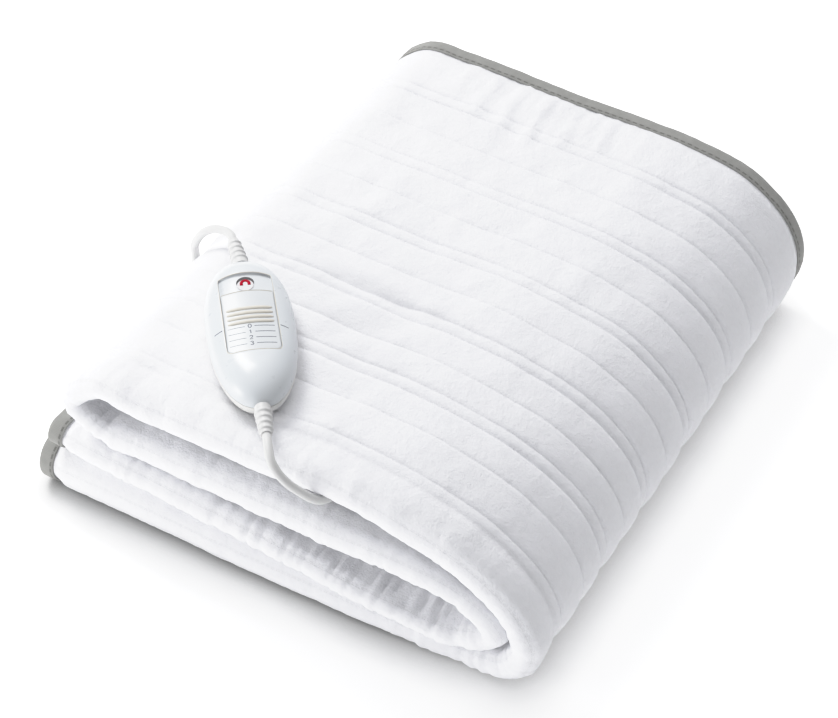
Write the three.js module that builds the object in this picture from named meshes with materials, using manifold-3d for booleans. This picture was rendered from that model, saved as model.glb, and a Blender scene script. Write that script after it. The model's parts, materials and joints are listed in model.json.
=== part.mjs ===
// Electric underblanket: one long fleece cloth, folded once along its length and then in four, with grey
// binding all round, a hand controller lying on top, and the two leads of the controller.
// Millimetres, +Z up. +X runs along the near folded edge, +Y towards the two bound long edges at the back.
import * as THREE from 'three';
import { mergeVertices } from 'three/addons/utils/BufferGeometryUtils.js';
import Module from 'manifold-3d';

const wasm = await Module();
wasm.setup();

// Cloth
const flatHalfWidth = 400;   // the 800 mm wide cloth is folded once, so each ply is 400 mm deep
const ply = 5;               // one thickness of fleece, with the wires inside
const boundPly = 2.4;        // the same ply, pressed under the binding
const parting = 6.4;         // from the middle of one ply to the middle of the other
const swellFade = 85;        // the near fold's swelling has gone this far behind it
const ribHeight = 1.2;       // a wire channel stands this far out of the ply
const ribHalf = 5;
const ribCentres = [33, 94, 150, 211, 276, 345];   // from the near fold, over the flat ply
const swellSteps = [50, 64, 78];                   // more columns where the near fold's swelling dies away
const innerSteps = [170, 240, 310];                // and between the plies, over the rest of the cloth
const lyingFlat = 0.5;       // a row whose middle is less than this over the floor's line lies on the floor

// Binding
const tape = 1;
const tapeWidth = 10;
const clear = 0.3;           // between pieces that touch
const pressedZone = 11;      // the cloth is thin this far in from its edge
const pressedEnd = 16;       // and full again here

// Where the pile's middle is, seen from its near left corner
const pileMiddle = { x: 152.35, y: 198.35 };

// The folded section: the line midway between the two plies, from the bound end in the middle of the pile to
// the bound end on the floor. near and back are its places at the near fold and at the back edge. swellLeft
// and swellRight are how far the near fold swells, to the left and to the right of the way the line runs.
const floorLine = (ply + parting) / 2;
const section = [
  // nearX, nearZ, backX, backZ, swellLeft, swellRight, steps to the next row
  [-13, 50, -13, 40, 4.2, 4.2, 2],
  [100, 41.3, 100, 32, 4.6, 4.6, 1],
  [236, 27.6, 232, 27, 0.8, 0.8, 1],
  [272, 28, 266, 28.5, 0.8, 0.8, 3],
  [300.5, 46, 292, 47, 2.2, 2, 3],
  [274, 65, 266, 64, 2, 2, 1],
  [180, 68, 180, 63, 5.8, 6, 1],
  [62, 70, 64, 64, 4.8, 5, 1],
  [25, 71, 30, 72, 0.8, 1.5, 3],
  [4.7, 88, 10.5, 91, 0.5, 0.5, 3],
  [26, 110.5, 31, 113, 0.5, 4, 1],
  [60, 113, 64, 116, 0, 11.5, 2],
  [150, 114.5, 148, 112, 0, 13, 1],
  [190, 115, 188, 110.3, 0, 8.2, 2],
  [243, 109.5, 238, 109, 0, 13.5, 2],
  [283, 95.3, 278, 99, 0, 11, 2],
  [313, 70, 307, 74.5, 0, 7, 2],
  [323.5, 43, 316.5, 46, 0, 6.5, 2],
  [312, 16, 307, 18, 0, 7.5, 2],
  [286, floorLine, 282, floorLine, 0, 8, 1],
  [258, floorLine, 255, floorLine, 0, 7.8, 1],
  [152, floorLine, 152, floorLine, 0, 14, 1],
  [20, floorLine, 20, floorLine, 0, 25, 1],
  [-24, floorLine, -24, floorLine, 0, 23, 0],
].map(([nearX, nearZ, backX, backZ, swellLeft, swellRight, steps]) => {
  const near = new THREE.Vector3(nearX, nearZ, 0);
  const back = new THREE.Vector3(backX, backZ, 0);
  return { near, back, swellLeft, swellRight, steps };
});

// Hand controller, in its own frame: its long axis along Y, the mains end at +Y, its underside at Z 0
const control = {
  x: 96.7, y: 67.5, z: 121.5, turn: THREE.MathUtils.degToRad(39.2),
  length: 125, width: 54, height: 24, seam: 9.6, egg: 0.07, squareness: 2.3,
  topInset: [9, 14], baseInset: [6, 8],
};
const track = { y: 6.5, width: 32.4, length: 68.6, depth: 3.4, corner: 4 };
const travel = 15;           // three settings, 5 mm apart
const slide = {
  thick: 2.6, gap: 0.3, ribs: 4, ribPitch: 4.4, ribFromTop: 17, ribWidth: 1.7, ribHeight: 1.1, ribInset: 2.2,
};
const indicator = {
  fromTop: 8, radius: 4.6, depth: 2, thick: 0.9, markRadius: 2.9, markWidth: 1.5, markHeight: 0.4,
};
// Along a strain relief, the places of its rings are shares of its length
const relief = {
  wide: 5.6, narrow: 4, ring: 0.7, rings: 4, firstRing: 0.24, ringPitch: 0.2, ringHalf: 0.06, ringTop: 0.03,
};
const mainsRelief = { length: 25, lean: THREE.MathUtils.degToRad(6) };
const blanketRelief = { length: 22, lean: 0 };
const reliefHeight = 10;

// Leads. Each route is a list of points chosen by hand, from the relief's tip on.
const leadDiameter = 5.5;
const leadRadius = leadDiameter / 2;
const leadStep = 2 * leadDiameter;
const leadSteps = { fewest: 12, most: 80 };
const mainsRoute = [
  [39.1, 134, 131.5], [35.2, 137.6, 131.3], [30.2, 140.4, 130.2], [24.4, 141.9, 128.6], [18, 142.6, 126],
  [12, 143, 121.5], [6, 144.2, 114.5], [0.7, 146.4, 106], [-3.6, 149.6, 97], [-6.6, 153.6, 87],
  [-10, 158, 76], [-14.2, 162, 63], [-19.4, 165.4, 50], [-24.8, 168.4, 37.5], [-30, 171.6, 25.2], [-34, 176, 15],
  [-36.3, 183, 7.6], [-37, 193, 3.8], [-37, 206, 3], [-37, 228, 3], [-37.4, 262, 3], [-38, 305, 3],
  [-38.6, 350, 3], [-39, 379, 3], [-34.4, 396, 3], [-22, 408.4, 3], [-5, 413, 3], [9, 413.6, 3],
  [24, 413.6, 3.4], [39.9, 413.5, 4],
];
const plugRoute = [
  [80.8, 413.5, 14.6], [91, 413.8, 13.2], [101, 416, 10.8], [110.5, 420.5, 8.4],
  [118.5, 427, 7], [124.5, 434.5, 7],
];
const blanketRoute = [
  [150.5, 1.5, 131.5], [155.8, -5, 131.3], [162, -11.9, 128.6], [168, -14, 123.2], [174, -13, 117],
  [179.4, -10.3, 111.4], [184, -6.6, 105.3], [187.4, -1, 99.9], [190, 7, 97.3], [191.4, 17, 96.3],
  [192, 27, 96.6], [192.2, 38, 98.6],
];

// Coil of the mains lead behind the pile, with its tie, and the plug beside it
const coil = { x: 60, y: 450, innerRadius: 22.7, outerRadius: 39.3, bottom: 1.3, height: 16.6, corner: 4 };
const coilTie = { width: 9, thick: 0.8 };
const plug = {
  x: 124.7, y: 434.8, z: 7, turn: THREE.MathUtils.degToRad(51),
  length: 36, width: 34, neck: 11, height: 13.6, corner: 3,
  neckEnd: 0.25, flareStart: 0.42, flare: 0.55, flareEnd: 0.62, shoulder: 0.75,   // shares of its length
};
const pin = { radius: 2, length: 19, apart: 18.6 };

// How many flat sides the round pieces have
const sides = { control: 36, pit: 24, relief: 10, coil: 28, pin: 12 };

const materials = {
  fleece: new THREE.MeshStandardMaterial({ color: 0xf2f3f4, roughness: 0.95, metalness: 0 }),
  binding: new THREE.MeshStandardMaterial({ color: 0xa3a39f, roughness: 0.8, metalness: 0 }),
  shell: new THREE.MeshStandardMaterial({ color: 0xeef0f1, roughness: 0.28, metalness: 0 }),
  slide: new THREE.MeshStandardMaterial({ color: 0xe6e3d9, roughness: 0.4, metalness: 0 }),
  pit: new THREE.MeshStandardMaterial({ color: 0x3a3636, roughness: 0.5, metalness: 0 }),
  mark: new THREE.MeshStandardMaterial({ color: 0xc21f36, roughness: 0.45, metalness: 0 }),
  lead: new THREE.MeshStandardMaterial({ color: 0xe9e6dd, roughness: 0.5, metalness: 0 }),
  tie: new THREE.MeshStandardMaterial({ color: 0xdedcd4, roughness: 0.6, metalness: 0 }),
  pin: new THREE.MeshStandardMaterial({ color: 0xb9bcbe, roughness: 0.3, metalness: 1 }),
};

const smooth = (share) => {
  const x = THREE.MathUtils.clamp(share, 0, 1);
  return x * x * (3 - 2 * x);
};

// One closed mesh from a list of points and a list of faces, each face three or four point numbers
function solidFrom(points, faces) {
  const index = [];
  for (const [a, b, c, d] of faces) {
    index.push(a, b, c);
    if (d !== undefined) index.push(a, c, d);
  }
  const places = points.flatMap((point) => point.toArray());
  const geometry = new THREE.BufferGeometry();
  geometry.setAttribute('position', new THREE.Float32BufferAttribute(places, 3));
  geometry.setIndex(index);
  return signedVolume(geometry) < 0 ? turnedInsideOut(geometry) : geometry;
}

function signedVolume(geometry) {
  const position = geometry.attributes.position;
  const corner = [new THREE.Vector3(), new THREE.Vector3(), new THREE.Vector3()];
  let total = 0;
  for (let i = 0; i < geometry.index.count; i += 3) {
    corner.forEach((point, k) => point.fromBufferAttribute(position, geometry.index.getX(i + k)));
    total += corner[0].dot(corner[1].clone().cross(corner[2])) / 6;
  }
  return total;
}

function turnedInsideOut(geometry) {
  const index = Array.from(geometry.index.array);
  for (let i = 0; i < index.length; i += 3) [index[i + 1], index[i + 2]] = [index[i + 2], index[i + 1]];
  geometry.setIndex(index);
  return geometry;
}

// The stations of the cloth along its length: sampled rows of the section, with the way square to the line
function makeStations() {
  const nearCurve = new THREE.CatmullRomCurve3(section.map((row) => row.near), false, 'centripetal');
  const backCurve = new THREE.CatmullRomCurve3(section.map((row) => row.back), false, 'centripetal');
  const last = section.length - 1;
  const at = (row) => {
    const low = Math.min(Math.floor(row), last - 1);
    const share = row - low;
    const near = nearCurve.getPoint(row / last);
    const back = backCurve.getPoint(row / last);
    near.y = Math.max(near.y, floorLine);
    back.y = Math.max(back.y, floorLine);
    return {
      near, back,
      swellLeft: THREE.MathUtils.lerp(section[low].swellLeft, section[low + 1].swellLeft, share),
      swellRight: THREE.MathUtils.lerp(section[low].swellRight, section[low + 1].swellRight, share),
    };
  };
  const stepsOf = (row, i) => Array.from({ length: row.steps }, (_, k) => i + k / row.steps);
  const rows = section.flatMap(stepsOf).concat(last);
  const firstStep = at(rows[1]).near.distanceTo(at(0).near) / rows[1];
  const lastStep = at(last).near.distanceTo(at(rows.at(-2)).near) / (last - rows.at(-2));
  rows.splice(1, 0, pressedZone / firstStep, pressedEnd / firstStep);
  rows.splice(rows.length - 1, 0, last - pressedEnd / lastStep, last - pressedZone / lastStep);
  const stations = rows.map(at);
  for (const place of ['near', 'back']) {
    stations.forEach((station, i) => {
      const before = stations[Math.max(i - 1, 0)][place];
      const after = stations[Math.min(i + 1, stations.length - 1)][place];
      const into = station[place].clone().sub(before).normalize();
      const out = after.clone().sub(station[place]).normalize();
      const along = into.add(out).normalize();
      station[place + 'Square'] = new THREE.Vector3(-along.y, along.x, 0);
    });
  }
  stations.forEach((station) => {
    const ends = [stations[0], stations.at(-1)];
    station.fromEnd = Math.min(...ends.map((end) => station.near.distanceTo(end.near)));
    station.onFloor = station.near.y < floorLine + lyingFlat;
  });
  return stations;
}

// A station between two others, or past the last one when share is below 0
function between(a, b, share) {
  const mixed = {};
  for (const key of ['near', 'back', 'nearSquare', 'backSquare']) {
    mixed[key] = a[key].clone().lerp(b[key], share);
  }
  mixed.swellLeft = THREE.MathUtils.lerp(a.swellLeft, b.swellLeft, share);
  mixed.swellRight = THREE.MathUtils.lerp(a.swellRight, b.swellRight, share);
  return mixed;
}

// A point of the folded cloth. across is the distance from the near fold over the flat ply, side is 1 for the
// ply on the left of the line and -1 for the other, and offset is the distance out of the ply's middle.
function clothPoint(station, across, side, offset) {
  const nose = parting / 2 + (station.swellLeft + station.swellRight) / 2;
  const shift = (station.swellLeft - station.swellRight) / 2;
  const quarter = nose * Math.PI / 2;
  let y;
  let out;
  if (across < quarter) {
    const angle = across / nose;
    y = nose - (nose + offset) * Math.cos(angle);
    out = shift + side * (nose + offset) * Math.sin(angle);
  } else {
    y = nose + across - quarter;
    const swell = (side > 0 ? station.swellLeft : station.swellRight) * smooth(1 - (y - nose) / swellFade);
    out = side * (parting / 2 + swell + offset);
  }
  const share = THREE.MathUtils.clamp(y / flatHalfWidth, 0, 1);
  const middle = station.near.clone().lerp(station.back, share);
  const square = station.nearSquare.clone().lerp(station.backSquare, share);
  return new THREE.Vector3(middle.x + square.x * out, y, middle.y + square.y * out);
}

const plyHalf = (station, across) => {
  const inward = Math.min(station.fromEnd, flatHalfWidth - across);
  return THREE.MathUtils.mapLinear(THREE.MathUtils.clamp(inward, pressedZone, pressedEnd),
    pressedZone, pressedEnd, boundPly / 2, ply / 2);
};

// Columns over the flat ply: shares of the near fold's quarter turn first, then distances from the near fold
const noseShares = [0.25, 0.5, 0.75, 1];
const edgeColumns = [flatHalfWidth - pressedEnd, flatHalfWidth - pressedZone, flatHalfWidth];
const ribColumns = ribCentres.flatMap((centre) => [centre - ribHalf, centre, centre + ribHalf]);
const swellColumns = [...ribColumns.filter((across) => across < swellFade + ribHalf * 4), ...swellSteps];
const rising = (a, b) => a - b;
const innerColumns = [...swellColumns, ...innerSteps, ...edgeColumns].sort(rising);
const outerColumns = [...new Set([...swellColumns, ...ribColumns, ...edgeColumns])].sort(rising);

function columnsFor(station, columns) {
  const quarter = Math.PI / 2 * (parting / 2 + (station.swellLeft + station.swellRight) / 2);
  const half = [...noseShares.map((share) => share * quarter), ...columns];
  return [...half.toReversed().map((across) => [across, 1]), [0, 1], ...half.map((across) => [across, -1])];
}

function makeCloth(stations) {
  const points = [];
  const place = (station, across, side, face) => {
    const rib = face > 0 && ribCentres.includes(across) && !(station.onFloor && side > 0) ? ribHeight : 0;
    const pressed = THREE.MathUtils.clamp((station.fromEnd - pressedZone) / (pressedEnd - pressedZone), 0, 1);
    points.push(clothPoint(station, across, side, face * (plyHalf(station, across) + rib * pressed)));
    return points.length - 1;
  };
  const grid = (columns, face) => stations.map(
    (station) => columnsFor(station, columns).map(([across, side]) => place(station, across, side, face)));
  const outer = grid(outerColumns, 1);
  const inner = grid(innerColumns, -1);
  const faces = [];
  const skin = (rows, turned) => {
    for (let i = 0; i < rows.length - 1; i += 1) {
      for (let j = 0; j < rows[i].length - 1; j += 1) {
        const face = [rows[i][j], rows[i + 1][j], rows[i + 1][j + 1], rows[i][j + 1]];
        faces.push(turned ? face.toReversed() : face);
      }
    }
  };
  skin(outer, false);
  skin(inner, true);
  for (let i = 0; i < stations.length - 1; i += 1) {
    faces.push([outer[i][0], inner[i][0], inner[i + 1][0], outer[i + 1][0]]);
    faces.push([outer[i + 1].at(-1), inner[i + 1].at(-1), inner[i].at(-1), outer[i].at(-1)]);
  }
  // The two end walls join rows of different lengths, so each step is taken on the row that lags
  for (const [row, turned] of [[0, false], [stations.length - 1, true]]) {
    const a = outer[row];
    const b = inner[row];
    const along = (columns) => columnsFor(stations[row], columns).map(([across, side]) => -side * across);
    const aPlace = along(outerColumns);
    const bPlace = along(innerColumns);
    let i = 0;
    let j = 0;
    while (i < a.length - 1 || j < b.length - 1) {
      const stepOuter = j === b.length - 1 || (i < a.length - 1 && aPlace[i + 1] <= bPlace[j + 1]);
      const face = stepOuter ? [a[i], a[i + 1], b[j]] : [a[i], b[j + 1], b[j]];
      faces.push(turned ? face.toReversed() : face);
      if (stepOuter) i += 1;
      else j += 1;
    }
  }
  return solidFrom(points, faces);
}

// The binding: a folded tape, U-shaped in section, in one loop round all four edges of the cloth
function makeBinding(stations) {
  const last = stations.length - 1;
  const hold = boundPly / 2 + clear;
  const lip = clear + tape;
  const profile = [
    [-tapeWidth, hold + tape], [lip, hold + tape], [lip, -hold - tape], [-tapeWidth, -hold - tape],
    [-tapeWidth, -hold], [clear, -hold], [clear, hold], [-tapeWidth, hold],
  ];
  const beyond = (end, past) => (end === 0
    ? between(stations[0], stations[1], -past / pressedZone)
    : between(stations[last], stations[last - 1], -past / pressedZone));
  const ring = (place) => profile.map(([past, offset]) => place(past, offset));
  const rings = [];
  const longEdge = (side, order) => order.forEach((i) => rings.push(
    ring((past, offset) => clothPoint(stations[i], flatHalfWidth + past, side, offset))));
  const corner = (end, side) => rings.push(
    ring((past, offset) => clothPoint(beyond(end, past), flatHalfWidth + past, side, offset)));
  const shortEdge = (end, from) => {
    const columns = columnsFor(stations[end], innerColumns)
      .filter(([across]) => across < flatHalfWidth - pressedZone);
    (from > 0 ? columns : columns.toReversed()).forEach(([across, side]) => rings.push(
      ring((past, offset) => clothPoint(beyond(end, past), across, side, offset))));
  };
  const middle = stations.map((_, i) => i).slice(1, last);
  longEdge(1, middle);
  corner(last, 1);
  shortEdge(last, 1);
  corner(last, -1);
  longEdge(-1, middle.toReversed());
  corner(0, -1);
  shortEdge(0, -1);
  corner(0, 1);
  const points = rings.flat();
  const size = profile.length;
  const faces = [];
  rings.forEach((_, i) => {
    const next = (i + 1) % rings.length;
    for (let k = 0; k < size; k += 1) {
      const other = (k + 1) % size;
      faces.push([i * size + k, next * size + k, next * size + other, i * size + other]);
    }
  });
  return solidFrom(points, faces);
}

// Closed solid of rings with equal numbers of points, stacked from the bottom up, with a flat cap at each end
function stackedRings(rings) {
  const count = rings[0].length;
  const points = rings.flat();
  const faces = [];
  for (let i = 0; i < rings.length - 1; i += 1) {
    for (let k = 0; k < count; k += 1) {
      const next = (k + 1) % count;
      faces.push([i * count + k, i * count + next, (i + 1) * count + next, (i + 1) * count + k]);
    }
  }
  for (const base of [0, (rings.length - 1) * count]) {
    const middle = new THREE.Vector3();
    for (let k = 0; k < count; k += 1) middle.addScaledVector(points[base + k], 1 / count);
    points.push(middle);
    for (let k = 0; k < count; k += 1) {
      const edge = [base + k, base + (k + 1) % count];
      faces.push([...(base === 0 ? edge.toReversed() : edge), points.length - 1]);
    }
  }
  return solidFrom(points, faces);
}

// The controller's outline at one height, drawn in by a share of the inset on each side
function controlRing(height, share, inset) {
  const bent = (value) => Math.sign(value) * Math.abs(value) ** (2 / control.squareness);
  return Array.from({ length: sides.control }, (_, k) => {
    const angle = 2 * Math.PI * k / sides.control;
    const y = (control.length / 2 - inset[1] * share) * bent(Math.sin(angle));
    const x = (control.width / 2 - inset[0] * share) * bent(Math.cos(angle));
    return new THREE.Vector3(x * (1 + control.egg * 2 * y / control.length), y, height);
  });
}

// Half of the controller's shell, from its seam to its crown or its underside
function controlHalf(from, to, inset) {
  const turns = [0, 18, 36, 54, 72, 90].map(THREE.MathUtils.degToRad);
  const rings = turns.map(
    (turn) => controlRing(from + (to - from) * Math.sin(turn), 1 - Math.cos(turn), inset));
  return stackedRings(to > from ? rings : rings.toReversed());
}

function roundedPlate(width, length, thick, corner) {
  const shape = new THREE.Shape();
  const x = width / 2;
  const y = length / 2;
  shape.moveTo(-x + corner, -y);
  shape.lineTo(x - corner, -y);
  shape.absarc(x - corner, -y + corner, corner, -Math.PI / 2, 0);
  shape.lineTo(x, y);
  shape.lineTo(-x, y);
  shape.absarc(-x + corner, -y + corner, corner, Math.PI, 1.5 * Math.PI);
  return new THREE.ExtrudeGeometry(shape, { depth: thick, bevelEnabled: false, curveSegments: 4 });
}

function toSolid(geometry) {
  const bare = geometry.clone();
  bare.deleteAttribute('normal');
  bare.deleteAttribute('uv');
  const merged = mergeVertices(bare, 1e-4);
  return new wasm.Manifold(new wasm.Mesh({
    numProp: 3,
    vertProperties: Float32Array.from(merged.attributes.position.array),
    triVerts: Uint32Array.from(merged.index.array),
  }));
}

function fromSolid(solid) {
  const mesh = solid.getMesh();
  const geometry = new THREE.BufferGeometry();
  geometry.setAttribute('position', new THREE.BufferAttribute(mesh.vertProperties, 3));
  geometry.setIndex(new THREE.BufferAttribute(mesh.triVerts, 1));
  return geometry;
}

function tube(route) {
  const section = new THREE.Shape();
  section.absarc(0, 0, leadRadius, 0, 2 * Math.PI);
  const points = route.map((point) => new THREE.Vector3(...point));
  const path = new THREE.CatmullRomCurve3(points, false, 'centripetal');
  const wanted = Math.ceil(path.getLength() / leadStep);
  const steps = THREE.MathUtils.clamp(wanted, leadSteps.fewest, leadSteps.most);
  return new THREE.ExtrudeGeometry(section, { steps, curveSegments: 5, extrudePath: path });
}

// Strain relief: a tapered sleeve with rings, lying along +Y from its wide end
function reliefSleeve(length) {
  const profile = [new THREE.Vector2(0, 0)];
  const at = (share, extra) => profile.push(new THREE.Vector2(
    THREE.MathUtils.lerp(relief.wide, relief.narrow, share) + extra, share * length));
  at(0, 0);
  for (let k = 0; k < relief.rings; k += 1) {
    const middle = relief.firstRing + relief.ringPitch * k;
    at(middle - relief.ringHalf, 0);
    at(middle - relief.ringTop, relief.ring);
    at(middle + relief.ringTop, relief.ring);
    at(middle + relief.ringHalf, 0);
  }
  at(1, 0);
  profile.push(new THREE.Vector2(0, length));
  return new THREE.LatheGeometry(profile, sides.relief);
}

const underblanket = new THREE.Group();
const pile = new THREE.Group();
pile.position.set(-pileMiddle.x, -pileMiddle.y, 0);
underblanket.add(pile);

function addPiece(name, geometry, material, parent = pile) {
  const mesh = new THREE.Mesh(geometry, material.clone());
  mesh.name = name;
  parent.add(mesh);
  return mesh;
}

// The cloth and its binding
const stations = makeStations();
addPiece('blanket', makeCloth(stations), materials.fleece);
addPiece('binding', makeBinding(stations), materials.binding);

// The hand controller
const controller = new THREE.Group();
controller.position.set(control.x, control.y, control.z);
controller.rotation.z = control.turn;
pile.add(controller);

const trackFloor = control.height - track.depth;
const pitY = track.y + track.length / 2 - indicator.fromTop;
const pit = new THREE.CylinderGeometry(indicator.radius, indicator.radius, indicator.depth * 2, sides.pit)
  .rotateX(Math.PI / 2).translate(0, pitY, trackFloor);
const trough = roundedPlate(track.width, track.length, track.depth * 2, track.corner)
  .translate(0, track.y, trackFloor);
const upper = toSolid(controlHalf(control.seam + clear / 2, control.height, control.topInset))
  .subtract(toSolid(trough)).subtract(toSolid(pit));
addPiece('controller_top', fromSolid(upper), materials.shell, controller);
const lower = controlHalf(control.seam - clear / 2, 0, control.baseInset);
addPiece('controller_base', lower, materials.shell, controller);

const slideLength = track.length - travel - 2 * slide.gap;
const slideWidth = track.width - 2 * slide.gap;
const slideY = track.y - track.length / 2 + slide.gap + slideLength / 2;
let slideSolid = toSolid(roundedPlate(slideWidth, slideLength, slide.thick, track.corner));
for (let k = 0; k < slide.ribs; k += 1) {
  const y = slideLength / 2 - slide.ribFromTop - k * slide.ribPitch;
  const bar = new THREE.BoxGeometry(slideWidth - 2 * slide.ribInset, slide.ribWidth, slide.ribHeight * 2);
  slideSolid = slideSolid.add(toSolid(bar.translate(0, y, slide.thick)));
}
addPiece('slide', fromSolid(slideSolid), materials.slide, controller)
  .position.set(0, slideY, trackFloor + slide.gap);

const discTop = trackFloor - indicator.depth + clear + indicator.thick;
const discRadius = indicator.radius - clear;
const disc = new THREE.CylinderGeometry(discRadius, discRadius, indicator.thick, sides.pit);
addPiece('indicator_disc', disc.rotateX(Math.PI / 2), materials.pit, controller)
  .position.set(0, pitY, discTop - indicator.thick / 2);
const archInner = indicator.markRadius - indicator.markWidth;
const arch = new THREE.Shape();
arch.absarc(0, 0, indicator.markRadius, 0, Math.PI);
arch.lineTo(-indicator.markRadius, -indicator.markWidth);
arch.lineTo(-archInner, -indicator.markWidth);
arch.lineTo(-archInner, 0);
arch.absarc(0, 0, archInner, Math.PI, 0, true);
arch.lineTo(archInner, -indicator.markWidth);
arch.lineTo(indicator.markRadius, -indicator.markWidth);
const markForm = { depth: indicator.markHeight, bevelEnabled: false, curveSegments: 8 };
addPiece('indicator_mark', new THREE.ExtrudeGeometry(arch, markForm), materials.mark, controller)
  .position.set(0, pitY, discTop + clear);

const shellEnd = control.length / 2 + clear;
for (const [name, form, side, facing] of [
  ['relief_mains', mainsRelief, 1, 0], ['relief_blanket', blanketRelief, -1, Math.PI],
]) {
  const sleeve = addPiece(name, reliefSleeve(form.length), materials.lead, controller);
  sleeve.position.set(0, side * shellEnd, reliefHeight);
  sleeve.rotation.z = facing + form.lean;
}

// The two leads
addPiece('lead_blanket', tube(blanketRoute), materials.lead);
addPiece('lead_mains', tube(mainsRoute), materials.lead);
addPiece('lead_plug', tube(plugRoute), materials.lead);

const ringProfile = new THREE.Path();
const { innerRadius: inside, outerRadius: outside, bottom: low, corner: round } = coil;
const high = low + coil.height;
ringProfile.absarc(inside + round, low + round, round, Math.PI, 1.5 * Math.PI);
ringProfile.absarc(outside - round, low + round, round, -Math.PI / 2, 0);
ringProfile.absarc(outside - round, high - round, round, 0, Math.PI / 2);
ringProfile.absarc(inside + round, high - round, round, Math.PI / 2, Math.PI);
const ringPoints = ringProfile.getPoints(1);
if (!ringPoints[0].equals(ringPoints.at(-1))) ringPoints.push(ringPoints[0].clone());
const coilRing = new THREE.LatheGeometry(ringPoints, sides.coil).rotateX(Math.PI / 2);
addPiece('lead_coil', coilRing, materials.lead).position.set(coil.x, coil.y, 0);

const bandShape = (margin) => {
  const shape = new THREE.Shape();
  const x = (outside - inside) / 2 + clear + margin;
  const z = coil.height / 2 + margin;
  const corner = round + margin;
  shape.moveTo(-x + corner, -z);
  shape.lineTo(x - corner, -z);
  shape.absarc(x - corner, -z + corner, corner, -Math.PI / 2, 0);
  shape.absarc(x - corner, z - corner, corner, 0, Math.PI / 2);
  shape.absarc(-x + corner, z - corner, corner, Math.PI / 2, Math.PI);
  shape.absarc(-x + corner, -z + corner, corner, Math.PI, 1.5 * Math.PI);
  return shape;
};
const band = bandShape(clear + coilTie.thick);
band.holes.push(bandShape(clear));
const bandForm = { depth: coilTie.width, bevelEnabled: false, curveSegments: 3 };
const strap = new THREE.ExtrudeGeometry(band, bandForm).translate(0, 0, -coilTie.width / 2).rotateX(Math.PI / 2);
addPiece('coil_tie', strap, materials.tie)
  .position.set(coil.x + (inside + outside) / 2, coil.y, low + coil.height / 2);

// The flat two-pin plug
const plugGroup = new THREE.Group();
plugGroup.position.set(plug.x, plug.y, plug.z);
plugGroup.rotation.z = plug.turn;
pile.add(plugGroup);
const body = new THREE.Shape();
const half = plug.width / 2;
const neck = plug.neck / 2;
const at = (share) => plug.length * share;
body.moveTo(0, -neck);
body.lineTo(at(plug.neckEnd), -neck);
body.quadraticCurveTo(at(plug.flareStart), -neck, at(plug.flare), -half + plug.corner);
body.quadraticCurveTo(at(plug.flareEnd), -half, at(plug.shoulder), -half);
body.lineTo(plug.length - plug.corner, -half);
body.quadraticCurveTo(plug.length, -half, plug.length, -half + plug.corner);
body.lineTo(plug.length, half - plug.corner);
body.quadraticCurveTo(plug.length, half, plug.length - plug.corner, half);
body.lineTo(at(plug.shoulder), half);
body.quadraticCurveTo(at(plug.flareEnd), half, at(plug.flare), half - plug.corner);
body.quadraticCurveTo(at(plug.flareStart), neck, at(plug.neckEnd), neck);
body.lineTo(0, neck);
const bodyForm = { depth: plug.height, bevelEnabled: false, curveSegments: 4 };
const bodySolid = new THREE.ExtrudeGeometry(body, bodyForm).translate(0, 0, -plug.height / 2);
addPiece('plug_body', bodySolid, materials.lead, plugGroup);
for (const [name, side] of [['plug_pin_1', -1], ['plug_pin_2', 1]]) {
  const rod = new THREE.CylinderGeometry(pin.radius, pin.radius, pin.length, sides.pin).rotateZ(Math.PI / 2);
  addPiece(name, rod, materials.pin, plugGroup)
    .position.set(plug.length + clear + pin.length / 2, side * pin.apart / 2, 0);
}

export default underblanket;
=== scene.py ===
# Electric underblanket: a fleece cloth folded into a pile and bound in grey, with its controller and leads.
import json
import bpy
import numpy as np
from mathutils import Matrix

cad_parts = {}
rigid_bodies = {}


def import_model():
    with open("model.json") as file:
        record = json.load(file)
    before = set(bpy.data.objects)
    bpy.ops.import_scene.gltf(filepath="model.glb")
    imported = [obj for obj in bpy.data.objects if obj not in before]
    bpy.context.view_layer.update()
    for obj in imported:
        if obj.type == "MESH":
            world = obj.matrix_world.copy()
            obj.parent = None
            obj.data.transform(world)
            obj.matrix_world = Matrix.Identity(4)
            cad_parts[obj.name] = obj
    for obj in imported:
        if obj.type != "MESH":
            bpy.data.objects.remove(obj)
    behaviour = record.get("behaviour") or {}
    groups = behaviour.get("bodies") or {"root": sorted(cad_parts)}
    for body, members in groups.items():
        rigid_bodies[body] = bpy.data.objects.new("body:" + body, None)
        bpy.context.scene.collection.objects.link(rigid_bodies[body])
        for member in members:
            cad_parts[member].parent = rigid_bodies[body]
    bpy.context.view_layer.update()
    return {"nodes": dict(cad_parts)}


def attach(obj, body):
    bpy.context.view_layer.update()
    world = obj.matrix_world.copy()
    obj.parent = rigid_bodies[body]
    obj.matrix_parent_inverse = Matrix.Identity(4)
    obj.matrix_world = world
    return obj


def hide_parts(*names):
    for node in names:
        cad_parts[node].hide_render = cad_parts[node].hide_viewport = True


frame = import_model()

# The table top and the light tent
# A white sweep in a tent of glowing walls, lit by a soft box high on the left and a weaker one low in
# front. The camera stands in front, a little to the right, and looks down at the pile through a long lens.
turn, tilt = np.radians(30.36075), np.radians(43.43749)
looked_at, camera_away = np.array([-0.00809, -0.01424, 0.03929]), 1.4691626
film_wide, focal_pixels, picture_pixels = 36, 2260.881, 838
back = np.array([np.sin(turn) * np.cos(tilt), -np.cos(turn) * np.cos(tilt), np.sin(tilt)])
right = np.array([np.cos(turn), np.sin(turn), 0])


def stand(made, axes, place):
    """Puts an object into the scene at place, with its own axes along the columns of axes."""
    made.matrix_world = Matrix([[*row, at] for row, at in zip(axes, place)] + [[0, 0, 0, 1]])
    bpy.context.scene.collection.objects.link(made)


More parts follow.
